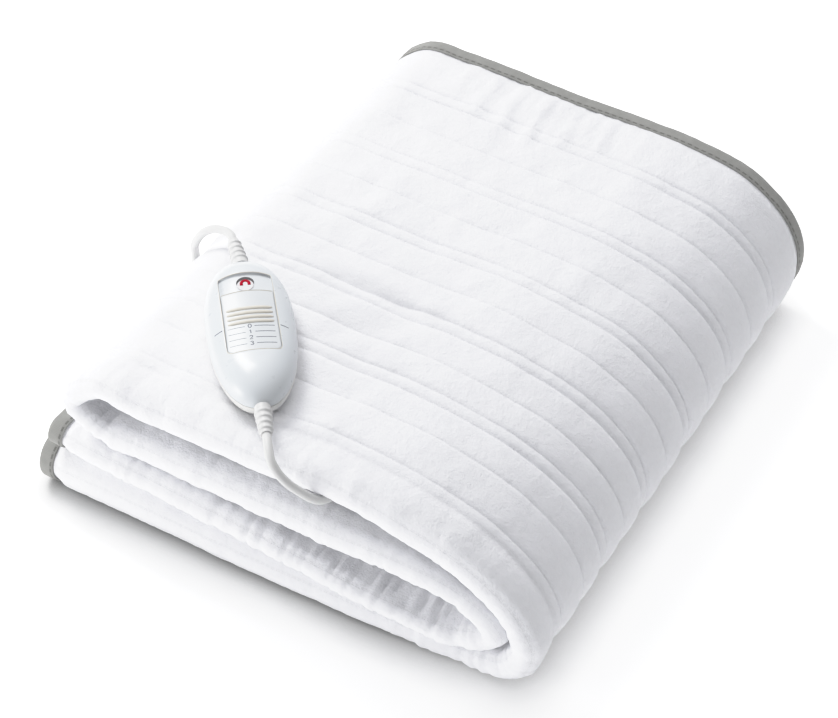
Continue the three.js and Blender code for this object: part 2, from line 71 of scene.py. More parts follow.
camera = bpy.data.objects.new("camera", bpy.data.cameras.new("camera"))
camera.data.sensor_width = film_wide
camera.data.lens = film_wide * focal_pixels / picture_pixels
stand(camera, np.column_stack([right, np.cross(back, right), back]), looked_at + back * camera_away)
bpy.context.scene.camera = camera
film = bpy.context.scene.view_settings
film.view_transform = "Standard"
film.use_curve_mapping = True                        # a soft shoulder, so white cloth keeps its detail
film.curve_mapping.clip_max_x = film.curve_mapping.clip_max_y = 2
shoulder = film.curve_mapping.curves[3]
shoulder.points[1].location = 1.3, 1.06
for light, shown in ((0.5, 0.5), (0.86, 0.86), (1.0, 0.935), (1.12, 0.975)):
    shoulder.points.new(light, shown)
film.curve_mapping.extend = "EXTRAPOLATED"
film.curve_mapping.update()


class Shade:
    """One output of a tree's nodes. Sums and products of Shades and numbers add their Math nodes."""

    def __init__(self, tree, socket=None):
        self.tree, self.socket = tree, socket

    def node(self, kind, settings=None, sockets=None, output=0):
        """A node of this kind: its settings first, then the values or links of its sockets."""
        made = self.tree.nodes.new(kind)
        for name, value in (settings or {}).items():
            setattr(made, name, value)
        for name, value in (sockets or {}).items():
            if isinstance(value, Shade):
                self.tree.links.new(value.socket, made.inputs[name])
            else:
                made.inputs[name].default_value = value
        return Shade(self.tree, made.outputs[output])

    def math(self, operation, *values):
        return self.node("ShaderNodeMath", {"operation": operation}, dict(enumerate(values)))

    def __add__(self, other):
        return self.math("ADD", self, other)

    def __sub__(self, other):
        return self.math("SUBTRACT", self, other)

    def __rsub__(self, other):
        return self.math("SUBTRACT", other, self)

    def __mul__(self, other):
        return self.math("MULTIPLY", self, other)

    def __truediv__(self, other):
        return self.math("DIVIDE", self, other)

    def __pow__(self, other):
        return self.math("POWER", self, other)

    def __lt__(self, other):
        return self.math("LESS_THAN", self, other)

    def __abs__(self):
        return self.math("ABSOLUTE", self)

    __radd__ = __add__

    def axis(self, which):
        """One coordinate of a vector: 0 for X, 1 for Y."""
        return self.node("ShaderNodeSeparateXYZ", None, {0: self}, which)

    def dashes(self, pitch):
        """1 on the dashes of a sewn row and 0 between them."""
        return abs(self.math("FRACT", self / pitch) - 0.5) < 0.3

    def noise(self, size, detail=2.0, rough=0.5):
        """Noise over Object coordinates with marks about size metres across."""
        return self.node("ShaderNodeTexNoise", None, {
            "Vector": self.node("ShaderNodeTexCoord", None, None, "Object"),
            "Scale": 1 / size, "Detail": detail, "Roughness": rough})

    def blended(self, low, high):
        """The colour that this share gives between low and high."""
        low, high = (colour if isinstance(colour, Shade) else (*colour, 1) for colour in (low, high))
        return self.node("ShaderNodeMix", {"data_type": "RGBA"}, {0: self, 6: low, 7: high}, 2)


# The tent's walls glow in three broad patches: overhead, low in front, and high behind
world = bpy.data.worlds.new("light tent")
world.use_nodes = True
tent = Shade(world.node_tree)
looking = tent.node("ShaderNodeTexCoord", None, None, "Generated")
glow = 0.01
for direction, narrow, strength in (
        ((0, 0, 1), 6, 1.07), ((-0.196, -0.98, 0.049), 4, 1.8), ((-0.196, 0.784, 0.588), 4, 1.62)):
    facing = tent.node("ShaderNodeVectorMath", {"operation": "DOT_PRODUCT"}, {0: looking, 1: direction}, 1)
    glow = tent.node("ShaderNodeClamp", None, {"Value": facing}) ** narrow * strength + glow
walls = world.node_tree.nodes["Background"]
world.node_tree.links.new(glow.socket, walls.inputs["Strength"])
walls.inputs["Color"].default_value = (0.972, 0.976, 1, 1)
bpy.context.scene.world = world
lamp_white, lit_spot = (1, 0.995, 0.985), (0, 0, 0.05)


def soft_box(name, place, width, watts):
    """A square lamp at place, turned towards the pile."""
    lamp = bpy.data.objects.new(name, bpy.data.lights.new(name, "AREA"))
    lamp.data.size, lamp.data.energy, lamp.data.color = width, watts, lamp_white
    away = np.subtract(place, lit_spot)
    away /= np.linalg.norm(away)
    side = np.cross([0, 0, 1], away)
    side /= np.linalg.norm(side)
    stand(lamp, np.column_stack([side, np.cross(away, side), away]), place)


soft_box("key soft box", (-1.04, 0.4, 1.44), 0.7, 13.9)
soft_box("low front fill", (-0.8, -0.9, 0.3), 0.4, 3.2)


def finish_of(name, roughness, specular, coat=0.0, sheen=0.0, metallic=0.0):
    """A new material, and the Shade that its nodes start from."""
    made = bpy.data.materials.new(name)
    made.use_nodes = True
    shader = made.node_tree.nodes["Principled BSDF"]
    for socket, value in {
            "Roughness": roughness, "Specular IOR Level": specular, "Metallic": metallic, "Coat Weight": coat,
            "Coat Roughness": 0.12, "Sheen Weight": sheen, "Sheen Roughness": 0.5}.items():
        shader.inputs[socket].default_value = value
    return made, Shade(made.node_tree)


def give(material, colour, roughness=None, height=None, depth=None):
    """Joins what changes over the surface to the material's shader. depth is the bump's height in metres."""
    shader = material.node_tree.nodes["Principled BSDF"]
    bump = height and height.node("ShaderNodeBump", None, {
        "Strength": 1.0, "Distance": depth, "Height": height})
    for socket, value in {"Base Color": colour, "Roughness": roughness, "Normal": bump}.items():
        if value:
            material.node_tree.links.new(value.socket, shader.inputs[socket])
    return material


# The sweep glows, and painted shade darkens its colour and glow where the pile closes it in, less so towards
# the right
sweep = bpy.data.meshes.new("sweep")
sweep.from_pydata([(-4, -4, 0), (4, -4, 0), (4, 4, 0), (-4, 4, 0)], [], [(0, 1, 2, 3)])
table_top = bpy.data.objects.new("sweep", sweep)
bpy.context.scene.collection.objects.link(table_top)
white, paper = finish_of("white sweep", 0.9, 0.1)
closed_in = 1 - paper.node("ShaderNodeAmbientOcclusion", {"samples": 8}, {"Distance": 0.03}, "AO")
towards_right = paper.node("ShaderNodeMapRange", {"interpolation_type": "SMOOTHSTEP"}, {
    "Value": paper.node("ShaderNodeTexCoord", None, None, "Object").axis(0),
    "From Min": 0.06, "From Max": 0.16, "To Min": 1, "To Max": 0.62})
shadow, black, sweep_glow = closed_in * towards_right, (0, 0, 0), 0.43
glowing = white.node_tree.nodes["Principled BSDF"]
white.node_tree.links.new(shadow.blended((1, 1, 1), black).socket, glowing.inputs["Emission Color"])
glowing.inputs["Emission Strength"].default_value = sweep_glow
sweep.materials.append(give(white, shadow.blended((0.93, 0.93, 0.93), black)))

# The leads
# Round PVC-covered leads, 5.5 mm thick. The mains lead leaves the controller's far end, hangs over the
# pile's left side, lies along the floor behind it and ends in a tied coil with the plug; the other goes in
# between the layers.
lead_width = 5.5
pile_corner = (152.35, 198.35, 0)


def in_row_frame(points):
    """Points in millimetres of the pile's own corner, in metres of the shared frame."""
    return (np.asarray(points, float) - pile_corner) / 1000


def piece(name, points, faces, material, slot, body="pile", uv=None, smooth=True):
    """A mesh object from points in millimetres of the pile's own corner, facing outwards and on its body."""
    points = in_row_frame(points).reshape(-1, 3)
    faces = [np.asarray(kind, int) for kind in faces if len(kind)]
    corners = [points[kind] for kind in faces]
    volume = sum((c[:, 0] * np.cross(c[:, k], c[:, k + 1])).sum()
                 for c in corners for k in range(1, c.shape[1] - 1))
    if volume < 0:
        faces = [kind[:, ::-1] for kind in faces]
    mesh = bpy.data.meshes.new(name)
    mesh.from_pydata(points, [], [face for kind in faces for face in kind.tolist()])
    if uv is not None:
        corner = np.zeros(len(mesh.loops), int)
        mesh.loops.foreach_get("vertex_index", corner)
        mesh.uv_layers.new(name="cloth").data.foreach_set("uv", np.asarray(uv)[corner].ravel())
    mesh.polygons.foreach_set("use_smooth", np.full(len(mesh.polygons), smooth))
    mesh.materials.append(material)
    made = bpy.data.objects.new(name, mesh)
    bpy.context.scene.collection.objects.link(made)
    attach(made, body)
    return made


def plain_finish(name, roughness, specular, patch, low, high, gloss=None, grain=None, coat=0.0, metallic=0.0):
    """A finish whose colour drifts between low and high over patches, given as their size and detail. gloss
    makes the roughness drift too (size, detail, swing, least), and grain is the skin's own size and depth."""
    made, start = finish_of(name, roughness, specular, coat, metallic=metallic)
    drift = gloss and start.noise(*gloss[:2]) * gloss[2] + gloss[3]
    skin, depth = (start.noise(grain[0]), grain[1]) if grain else (None, None)
    return give(made, start.noise(*patch).blended(low, high), drift, skin, depth)


def spline(points, places):
    """Centripetal Catmull-Rom curve through the rows of points, at places counted in rows."""
    points = np.asarray(points, float)
    ends = np.vstack([2 * points[0] - points[1], points, 2 * points[-1] - points[-2]])
    low = np.clip(np.floor(places).astype(int), 0, len(points) - 2)
    t = (places - low)[:, None]
    a, b, c, d = (ends[low + k] for k in range(4))
    ab, bc, cd = (np.maximum(np.linalg.norm(q - p, axis=1), 1e-9)[:, None] ** 0.5
                  for p, q in ((a, b), (b, c), (c, d)))
    into = ((b - a) / ab - (c - a) / (ab + bc) + (c - b) / bc) * bc
    out = ((c - b) / bc - (d - b) / (bc + cd) + (d - c) / cd) * bc
    return b + into * t + (3 * (c - b) - 2 * into - out) * t ** 2 + (2 * (b - c) + into + out) * t ** 3


def sampled(points, per_span):
    """The spline through all the points, with per_span places from each to the next."""
    return spline(points, np.linspace(0, len(points) - 1, (len(points) - 1) * per_span + 1))


def walked(points):
    """Distance from the first point to each, along them all."""
    return np.concatenate([[0], np.cumsum(np.linalg.norm(np.diff(points, axis=0), axis=1))])


def eased(share):
    """0 to 1 with level ends, 3t² - 2t³."""
    share = np.clip(share, 0, 1)
    return share * share * (3 - 2 * share)


def ring_faces(count, around, closed=False):
    """Quads between count rings of around points each; closed also joins the last ring to the first."""
    ring, spot = np.meshgrid(np.arange(count if closed else count - 1), np.arange(around), indexing="ij")
    after, beside = (ring + 1) % count, (spot + 1) % around
    corners = ring * around + spot, ring * around + beside, after * around + beside, after * around + spot
    return np.stack(corners, -1).reshape(-1, 4)


def capped(rings):
    """Points and faces of a solid made of stacked rings, its two ends closed round a middle point."""
    count, around = rings.shape[:2]
    points = np.vstack([rings.reshape(-1, 3), rings[0].mean(0), rings[-1].mean(0)])
    spot = np.arange(around)
    beside = (spot + 1) % around
    last = (count - 1) * around
    low = np.stack([beside, spot, np.full(around, count * around)], 1)
    high = np.stack([last + spot, last + beside, np.full(around, count * around + 1)], 1)
    return points, [ring_faces(count, around), np.vstack([low, high])]


def round_lead(path):
    """A round section carried along a path: rings square to the path, their sides level with the floor."""
    along = np.gradient(path, axis=0)
    along /= np.linalg.norm(along, axis=1)[:, None]
    level = np.cross(along, (0, 0, 1))
    level /= np.linalg.norm(level, axis=1)[:, None]
    over = np.cross(level, along)
    angle = np.linspace(0, 2 * np.pi, 16, endpoint=False)[None, :, None]
    return path[:, None] + lead_width / 2 * (np.cos(angle) * level[:, None] + np.sin(angle) * over[:, None])


mains_route = [
    [39.1, 134, 131.5], [35.2, 137.6, 131.3], [30.2, 140.4, 130.2], [24.4, 141.9, 128.6], [18, 142.6, 126],
    [12, 143, 121.5], [6, 144.2, 114.5], [0.7, 146.4, 106], [-3.6, 149.6, 97], [-6.6, 153.6, 87],
    [-10, 158, 76], [-14.2, 162, 63], [-19.4, 165.4, 50], [-24.8, 168.4, 37.5], [-30, 171.6, 25.2],
    [-34, 176, 15], [-36.3, 183, 7.6], [-37, 193, 3.8], [-37, 206, 3], [-37, 228, 3], [-37.4, 262, 3],
    [-38, 305, 3], [-38.6, 350, 3], [-39, 379, 3], [-34.4, 396, 3], [-22, 408.4, 3], [-5, 413, 3],
    [9, 413.6, 3], [24, 413.6, 3.4], [39.9, 413.5, 4],
]
plug_route = [
    [80.8, 413.5, 14.6], [91, 413.8, 13.2], [101, 416, 10.8], [110.5, 420.5, 8.4],
    [118.5, 427, 7], [124.5, 434.5, 7],
]
blanket_route = [
    [150.5, 1.5, 131.5], [155.8, -5, 131.3], [162, -11.9, 128.6], [168, -14, 123.2], [174, -13, 117],
    [179.4, -10.3, 111.4], [184, -6.6, 105.3], [187.4, -1, 99.9], [190, 7, 97.3], [191.4, 17, 96.3],
    [192, 27, 96.6], [192.2, 38, 98.6],
]
coil_middle = np.array([60, 450])
coil_turns = [  # radius and height of each turn, in the order in which the lead takes them
    (36.5, 4.05), (31, 4.05), (25.5, 4.05), (25.5, 9.55),
    (31, 9.55), (36.5, 9.55), (36.5, 15.05), (36.5, 15.05),
]
turns, per_turn, crossing = len(coil_turns) - 1, 30, 0.2     # the lead steps over in a turn's last fifth
turned = np.arange(0, turns + 1e-9, 1 / per_turn)
step_over = eased((turned % 1 - (1 - crossing)) / crossing) * (turned < turns)
step_over += np.minimum(turned.astype(int), turns - 1)
radius, height = (np.interp(step_over, np.arange(turns + 1), column) for column in np.transpose(coil_turns))
winding = np.column_stack([coil_middle[0] + radius * np.sin(2 * np.pi * turned),
                           coil_middle[1] - radius * np.cos(2 * np.pi * turned), height])
mains_path = sampled(np.vstack([mains_route, winding[1:-1], plug_route]), 4)
blanket_path = sampled(blanket_route, 6)
pvc = plain_finish("warm white PVC", 0.42, 0.45, (0.012, 3), (0.655, 0.657, 0.65), (0.72, 0.72, 0.71),
                   gloss=(0.004, 2, 0.12, 0.36), grain=(0.0012, 0.00004))
mains_lead, blanket_lead = (piece(name, *capped(round_lead(path)), pvc, "lead_pvc")
                            for name, path in (("mains_lead", mains_path), ("blanket_lead", blanket_path)))
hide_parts("lead_mains", "lead_plug", "lead_coil")
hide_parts("lead_blanket")

# The cloth
# Two plies of white fleece with the heating wires sewn in channels between them, 5 mm thick each. The long
# cloth is folded once along its length, so its near edge is a soft fold, and then in four. Rows of the
# table are places on the middle line of the folded section, from the bound end inside the pile to the bound
# end on the floor.
ply, bound_ply = 5, 2.4                     # each ply's thickness, free and under the binding
parting, floor_line = 6.4, 5.7              # between the plies' middle lines; lowest the section goes
half_width, swell_fade = 400, 85            # near fold to back edge; how far in the swelling dies away
pressed_from, pressed_to = 11, 16           # from the edges, where the plies thin towards the binding
section = np.array([
    # near x, near z, back x, back z, swelling left and right of the line, gathers left and right of it
    [-13, 50, -13, 40, 4.2, 4.2, 1.6, 1.0],
    [100, 41.3, 100, 32, 4.6, 4.6, 1.6, 0.8],
    [236, 27.6, 232, 27, .8, .8, 3.4, 0.8],
    [272, 28, 266, 28.5, .8, .8, 4.0, 0.8],
    [300.5, 46, 292, 47, 2.2, 2, 1.6, 1.0],
    [274, 65, 266, 64, 2, 2.4, 1.5, 1.0],
    [180, 68, 180, 63, 5.8, 8.4, 1.2, 1.1],
    [62, 70, 64, 64, 4.8, 8, 1.0, 1.4],
    [27, 71, 30, 72, .8, 3, 1.8, 1.3],
    [7.4, 88, 10.5, 91, .5, .8, 2.3, 1.4],
    [28, 110.5, 31, 113, .5, 4, 1.1, .9],
    [60, 113, 64, 116, 0, 11.5, 0.5, 0.6],
    [150, 114.5, 148, 112, 0, 13, 0.4, 0.6],
    [190, 115, 188, 110.3, 0, 8.2, 0.4, 0.7],
    [243, 109.5, 238, 109, 0, 13.5, 0.4, 0.7],
    [283, 95.3, 278, 99, 0, 11, 0.4, 0.6],
    [313, 70, 307, 74.5, 0, 7, 0.5, 0.7],
    [323.5, 43, 316.5, 46, 0, 6.5, 0.8, 0.8],
    [312, 16, 307, 18, 0, 7.5, 0.8, 1.0],
    [286, 5.7, 282, 5.7, 0, 8, 0.5, 1.4],
    [258, 5.7, 255, 5.7, 0, 7.8, 0.4, 1.2],
    [152, 5.7, 152, 5.7, 0, 14, 0.3, 0.9],
    [20, 5.7, 20, 5.7, 0, 25, 0.3, 0.8],
    [-24, 5.7, -24, 5.7, 0, 23, 0.3, 0.5],
])
strong_channels = [33, 94, 150, 211, 276, 345]   # from the near fold over the flat ply, each a pair of seams
thin_seams = [66, 120, 180, 243, 310]
edge_stitching = 5, 13                      # the row along the near fold, on the left side and on the right
pair_apart = 9
all_seams = np.array(sorted(thin_seams + [c + s * pair_apart / 2 for c in strong_channels for s in (-1, 1)]))


def bumpy(x, y, seed):
    """Smooth value noise from -1 to 1: a random number at each whole place, eased between."""
    numbers = np.random.default_rng(seed).random((256, 256)) * 2 - 1
    x, y = np.broadcast_arrays(x, y)
    i, j = np.floor(x).astype(int), np.floor(y).astype(int)
    across, along = eased(x - i), eased(y - j)
    low = numbers[i % 256, j % 256] * (1 - across) + numbers[(i + 1) % 256, j % 256] * across
    high = numbers[i % 256, (j + 1) % 256] * (1 - across) + numbers[(i + 1) % 256, (j + 1) % 256] * across
    return low * (1 - along) + high * along


def left_of(run):
    """Unit directions square to each row of a flat line's run, on its left."""
    run = run / np.linalg.norm(run, axis=1)[:, None]
    return np.stack([-run[:, 1], run[:, 0]], 1)


class Line:
    """Stations on the section's middle line at row numbers: places, directions square to it, swelling."""

    def __init__(self, rows):
        self.rows = rows = np.asarray(rows, float)
        step = 0.12
        for name, columns in (("near", section[:, :2]), ("back", section[:, 2:4])):
            before, after = (self.held(spline(columns, np.clip(rows + d, 0, len(section) - 1)))
                             for d in (-step, step))
            setattr(self, name, self.held(spline(columns, rows)))
            setattr(self, name + "_square", left_of(after - before))
        self.left, self.right, self.gather_left, self.gather_right = (
            np.interp(rows, np.arange(len(section)), column) for column in section[:, 4:].T)
        self.nose = parting / 2 + (self.left + self.right) / 2
        self.quarter = self.nose * np.pi / 2

    @staticmethod
    def held(spot):
        return np.column_stack([spot[:, 0], np.maximum(spot[:, 1], floor_line)])


def folded(line, across, side, offset):
    """Points of the folded cloth for every station and column. The near fold turns through a half circle of
    the nose's radius; behind it each ply lies level, and its swelling dies away."""
    nose, left, right = line.nose[:, None], line.left[:, None], line.right[:, None]
    angle = across / nose
    round_y = nose - (nose + offset) * np.cos(angle)
    round_out = (left - right) / 2 + side * (nose + offset) * np.sin(angle)
    flat_y = nose + across - line.quarter[:, None]
    swell = np.where(side > 0, left, right) * eased(1 - (flat_y - nose) / swell_fade)
    flat_out = side * (parting / 2 + swell + offset)
    on_nose = across < line.quarter[:, None]
    y, out = np.where(on_nose, round_y, flat_y), np.where(on_nose, round_out, flat_out)
    share = np.clip(y / half_width, 0, 1)[..., None]
    middle = line.near[:, None] * (1 - share) + line.back[:, None] * share
    square = line.near_square[:, None] * (1 - share) + line.back_square[:, None] * share
    spot = middle + square * out[..., None]
    return np.stack([spot[..., 0], y, spot[..., 1]], -1)


fine_rows = np.linspace(0, len(section) - 1, 4000)
reached = walked(Line(fine_rows).near)
total, station_count = reached[-1], 621
end_marks = np.array([0, 5, 8, 11, 13.5, 16])
inside_marks = np.linspace(end_marks[-1], total - end_marks[-1], station_count - 2 * (len(end_marks) - 1))
marks = np.concatenate([end_marks[:-1], inside_marks, total - end_marks[:-1][::-1]])
cloth_line = Line(np.interp(marks, reached, fine_rows))
from_end = np.minimum(marks, total - marks)[:, None]

# Columns of the cloth from the bound edge of one ply round the near fold to the other's: a share of the
# near fold's quarter turn plus a distance over the flat ply, the side it lies on, and the step between its
# stations. They stand close together on the seams of the face and wider apart on its panels, on the hidden
# ply and on the lining.
near_fixed, panel_pitch = 28, 5.5
quarter_shares = np.linspace(0, 1, 9)[1:]
shared_between = np.array([.25, .5, .75, 1])


def columns_of_ply(fixed, thinned=slice(None)):
    """Turn shares and flat distances of a ply's columns: round the fold, just behind it, then fixed ones."""
    shares, between = quarter_shares[thinned], shared_between[thinned]
    return (np.concatenate([shares, 1 - between, np.zeros(len(fixed))]),
            np.concatenate([np.zeros(len(shares)), near_fixed * between, fixed]))


def both_plies(left, right):
    """Turn shares, flat distances and sides over both plies, from edge to edge through the near fold."""
    share, flat = (np.concatenate([one[::-1], [0], other]) for one, other in zip(left, right))
    return share, flat, np.repeat([1.0, 0, -1], [len(left[0]), 1, len(right[0])])


on_seams = np.add.outer(all_seams, [-3.2, -1.9, -1, -.4, 0, .4, 1, 1.9, 3.2]).ravel()
panels = np.arange(near_fixed + 1, half_width - pressed_to, panel_pitch)
panels = panels[np.abs(np.subtract.outer(panels, all_seams)).min(1) > 5]
top_edge = half_width - np.array([16, 13.5, 11, 5, 0])
top_fixed = np.unique(np.concatenate([on_seams[on_seams > near_fixed + 1], panels, top_edge]).round(2))
under_fixed = np.concatenate([np.arange(32, 60, 4), np.arange(64, 384, 20), [384, 386.5, 389, 395, 400]])
lining_fixed = np.concatenate([[32, 44], np.arange(64, 384, 40), [384, 389, 400]])
outer_turn, outer_flat, outer_side = both_plies(columns_of_ply(top_fixed), columns_of_ply(under_fixed))
outer_step = np.where(outer_flat < 45, 1, np.where(outer_side > 0, 2, 4))
lining = columns_of_ply(lining_fixed, slice(1, None, 2))
inner_turn, inner_flat, inner_side = both_plies(lining, lining)
outer_across = cloth_line.quarter[:, None] * outer_turn + outer_flat
inner_across = cloth_line.quarter[:, None] * inner_turn + inner_flat


def ply_half(across):
    """Half the ply's thickness: thin where the binding presses it, full from 16 mm in."""
    inward = np.minimum(from_end, half_width - across)
    return np.interp(inward, [pressed_from, pressed_to], [bound_ply / 2, ply / 2])


def seam(distance, depth, width):
    """A sewn groove: deepest on its line, with the fleece rising in a soft shoulder on both sides."""
    return -depth * np.exp(-np.abs(distance / width) ** 1.3)


def channel_relief(across):
    """The sewn channels on the face: panels puffed between the seams, the pairs' strips a little lower. The
    seams are pulled tight round the roll, and lie slack and soft on the flat top."""
    near = np.abs(across[..., None] - all_seams).min(-1)
    relief = 1.3 * (1 - np.exp(-(near / 7) ** 1.3))
    for centre in thin_seams:
        relief += seam(across - centre, 1.1, 1.2)
    for centre in strong_channels:
        relief += seam(across - centre + pair_apart / 2, 2.1, 1.6)
        relief += seam(across - centre - pair_apart / 2, 1.5, 1.3)
        relief -= 0.9 * np.exp(-((across - centre) / 5) ** 4)
    tight = np.interp(cloth_line.rows, [0, 8, 10, 13, 14.5, 16], [.8, .7, .6, .6, .85, 1.1])[:, None]
    return relief * tight * (1 + 0.3 * bumpy(marks[:, None] / 38, across / 30, 12))


creases = np.array([
    # on the top: x, y of both ends, half width, height (a trough is negative)
    [20, 30, 62, 78, 7, -.9], [26, 60, 50, 112, 6, .8], [40, 20, 72, 30, 6, -.7], [30, 100, 62, 150, 8, -.8],
    [34, 150, 60, 200, 9, .7], [124, 96, 170, 142, 8, -1.1], [118, 120, 150, 170, 8, .8],
    [140, 60, 190, 78, 9, -.8], [146, 30, 196, 40, 7, .8], [60, 24, 130, 18, 7, .9],
    [150, 20, 240, 16, 7, -.6], [200, 60, 262, 50, 11, .7], [60, 180, 110, 240, 10, .7],
    [120, 200, 190, 262, 12, -.7], [180, 140, 250, 150, 11, .6], [90, 300, 150, 320, 12, -.6],
    [170, 300, 240, 330, 12, .6], [22, 240, 50, 330, 10, .8], [230, 200, 276, 260, 12, -.6],
    [98, 153, 178, 143, 5, -1.4], [104, 163, 190, 152, 5, .9],
    # drawn in from the bound back edge
    [72, 388, 77, 345, 3.6, 1], [82, 388, 88, 350, 3.2, .8], [92, 388, 97, 335, 3.8, 1.3],
    [103, 388, 110, 345, 3.2, 1], [113, 388, 119, 326, 3.8, 1.5], [124, 388, 129, 340, 3.2, 1.1],
    [134, 388, 141, 322, 3.8, 1.7], [145, 388, 151, 336, 3.2, 1.3], [156, 388, 161, 332, 3.6, 1.5],
    [168, 388, 175, 345, 3.2, 1.1], [181, 388, 187, 340, 3.6, 1.2], [194, 388, 199, 348, 3.4, .9],
    [207, 388, 212, 352, 3.4, .7],
])
crease_height, border_line = 1.3, 372       # a factor on all the heights; where the back edge puckers


def lift(points, across, side, gather):
    """How far the cloth as a whole stands off its plain fold, in mm: gathers along the near fold, listed
    creases on the top, puckers along the bound back edge, and an all-over unevenness."""
    along, rows = marks[:, None], cloth_line.rows[:, None]
    x, y = points[..., 0], points[..., 1]
    on_top = eased((points[..., 2] - 88) / 14) * (side >= 0)
    # Gathers that die away from the near fold, with regular ones in the second hollow and on the lowest layer
    pleats = (np.sqrt(np.abs(bumpy(along / 6.5, across / 30, 3)))
              + 0.6 * np.sqrt(np.abs(bumpy(along / 3.1, across / 18, 4))))
    raised = gather * (1.5 * (pleats - 0.95) + bumpy(along / 14, across / 40, 5) * 0.5)
    raised *= np.exp(-(across / 30) ** 2)
    drawn = np.interp(rows, [1.5, 2, 4.1, 4.6], [0, 1.6, 1.5, 0])
    dented = np.interp(rows, [18.3, 18.8, 20, 21.1], [0, 0.5, 0.4, 0])
    ripple = np.sin(along * 0.63 + 2.2 * bumpy(along / 21, across / 70, 13))
    ripple *= 0.75 + 0.25 * bumpy(along / 15, 0, 14)
    drawn = drawn * np.where(side < 0, 0.5, 1) * eased((across - 4) / 8) * np.exp(-(across / 48) ** 2)
    dented = dented * np.exp(-(across / 8) ** 2)
    raised += (drawn + dented) * ripple
    stitched = seam(across - np.where(side > 0, *edge_stitching), 1.1, 1.7)
    raised += stitched * (0.7 + 0.3 * bumpy(along / 4, 0, 6))
    # The creases, each a soft ridge or trough that fades at both ends
    for x0, y0, x1, y1, wide, tall in creases:
        run = np.array([x1 - x0, y1 - y0])
        long = np.hypot(*run)
        share = ((x - x0) * run[0] + (y - y0) * run[1]) / long ** 2
        off = ((x - x0) * run[1] - (y - y0) * run[0]) / long
        fading = eased(share / .3 + .2) * eased((1 - share) / .3 + .2)
        raised += on_top * crease_height * tall * np.exp(-(off / wide) ** 2) * fading
    # Fine puckers along the back edge, and the unevenness of the whole top
    border = np.exp(-((y - border_line) / 16) ** 2) * (side >= 0)
    slant = x + 0.06 * (y - border_line)
    strength = np.interp(x, [20, 50, 150, 230, 300], [.2, .8, 1, .5, .15])
    raised += border * strength * (bumpy(slant / 6.5, y / 40, 7) * 1.2 + bumpy(slant / 3.6, y / 30, 8) * 0.45)
    raised += on_top * (bumpy(x / 34, y / 34, 9) * 0.6 + bumpy(x / 13, y / 17, 10) * 0.5)
    hollow = 11 * np.exp(-((rows - 2.7) / 1.1) ** 2 - ((y - 40) / 26) ** 2) * (side > 0)
    return (raised + hollow) * eased(np.minimum(from_end, half_width - across) / 14)


turn_mix = np.clip(outer_across / cloth_line.quarter[:, None], 0, 1)
gather_left, gather_right = cloth_line.gather_left[:, None], cloth_line.gather_right[:, None]
outer_gather = np.where(outer_side > 0, gather_left, gather_right) * turn_mix
outer_gather += (gather_left + gather_right) / 3 * (1 - turn_mix)
plain = folded(cloth_line, outer_across, outer_side, ply_half(outer_across))
rests = eased((plain[..., 2] - 0.2) / 3)             # 0 where the cloth lies on the floor
faded = eased((from_end - 9) / 12) * eased((half_width - outer_across - 9) / 12)
outer_offset = ply_half(outer_across) + rests * (
    lift(plain, outer_across, outer_side, outer_gather) + channel_relief(outer_across) * faded)
face_points = folded(cloth_line, outer_across, outer_side, outer_offset)
lining_points = folded(cloth_line, inner_across, inner_side, -ply_half(inner_across))
set_back = 6 * np.exp(-((cloth_line.rows - 19.2) / 1.6) ** 2)[:, None]    # the near corner of the roll's foot
for points in (face_points, lining_points):
    points[..., 1] += set_back * eased(1 - points[..., 1] / 70)

# All the columns in one closed round: over the face from edge to edge, then back over the lining
round_points = np.concatenate([face_points, lining_points[:, ::-1]], 1)
round_step = np.concatenate([outer_step, np.full(len(inner_side), 4)])
taken = np.arange(station_count)[:, None] % round_step == 0
number = np.full(taken.shape, -1)
number[taken] = np.arange(taken.sum())


def joined(number, step):
    """Faces between neighbouring columns. Where one column has fewer stations, its points take a fan each."""
    quads, tris = [], []
    for j in range(len(step)):
        k = (j + 1) % len(step)
        few, many = max(step[j], step[k]), min(step[j], step[k])
        start = np.arange(0, number.shape[0] - 1, few)
        after = start + few
        if few == many:
            around = number[start, j], number[after, j], number[after, k], number[start, k]
            quads.append(np.stack(around, 1))
            continue
        fine, coarse, order = (j, k, 1) if step[j] < step[k] else (k, j, -1)
        fans = [(number[start + part, fine], number[start + part + many, fine],
                 number[start if part < few / 2 else after, coarse]) for part in range(0, few, many)]
        fans.append((number[start + few // 2, fine], number[after, coarse], number[start, coarse]))
        tris += [np.stack(fan, 1)[:, ::order] for fan in fans]
    return np.vstack(quads), np.vstack(tris)


def end_wall(number, row):
    """Triangles that close the cloth's thickness at one end, between the face's columns and the lining's."""
    face = number[row, :len(outer_side)]
    inner = number[row, len(outer_side):][::-1]
    face_at = -outer_side * (outer_turn * cloth_line.quarter[row] + outer_flat)
    inner_at = -inner_side * (inner_turn * cloth_line.quarter[row] + inner_flat)
    beside = np.searchsorted(inner_at, face_at + 1e-6, side="right") - 1
    met = np.searchsorted(face_at, inner_at[1:] - 1e-6)
    return np.vstack([np.stack([face[:-1], face[1:], inner[beside[:-1]]], 1),
                      np.stack([face[met], inner[1:], inner[:-1]], 1)])


cloth_quads, cloth_tris = joined(number, round_step)
end_walls = [end_wall(number, 0), end_wall(number, station_count - 1)[:, ::-1]]
round_across = np.concatenate([outer_across * outer_side, (inner_across * inner_side)[:, ::-1]], 1)
cloth_uv = np.stack(np.broadcast_arrays(marks[:, None], round_across), -1)[taken] / 1000

